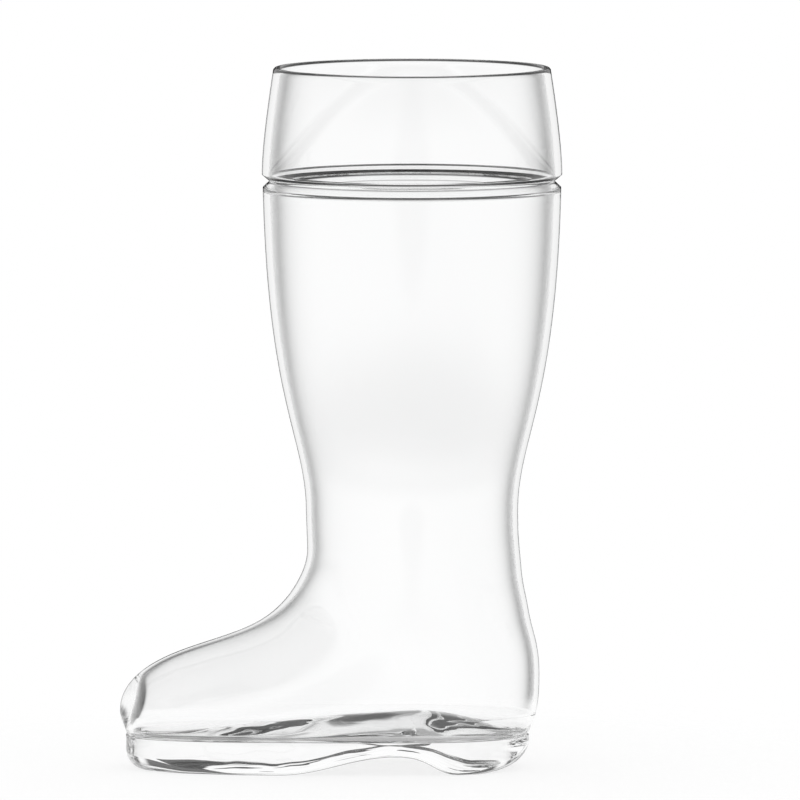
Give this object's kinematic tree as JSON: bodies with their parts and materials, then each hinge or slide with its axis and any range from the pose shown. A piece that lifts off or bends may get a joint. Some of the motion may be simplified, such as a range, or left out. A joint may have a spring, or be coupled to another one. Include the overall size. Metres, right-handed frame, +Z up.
{
  "type": "boot-shaped beer glass",
  "caption": "Clear drinking glass in the shape of a boot: flared cuff with a rounded lip, groove under it, round tapering leg, hollow foot and thick arched sole with a heel.",
  "frame": {"origin": "middle of the base of the bounding box, on the surface that the glass stands on", "axes": "+Z up from the sole to the lip; -X towards the toe and +X towards the heel; Y across the foot, with the glass mirrored about Y = 0"},
  "size_m": [0.1898, 0.1288, 0.3015],
  "materials": {
    "clear_glass": "clear, colourless, fire-polished"
  },
  "bodies": {
    "root": {"cuff": "clear_glass", "leg": "clear_glass", "foot": "clear_glass", "sole": "clear_glass"}
  },
  "joints": []
}
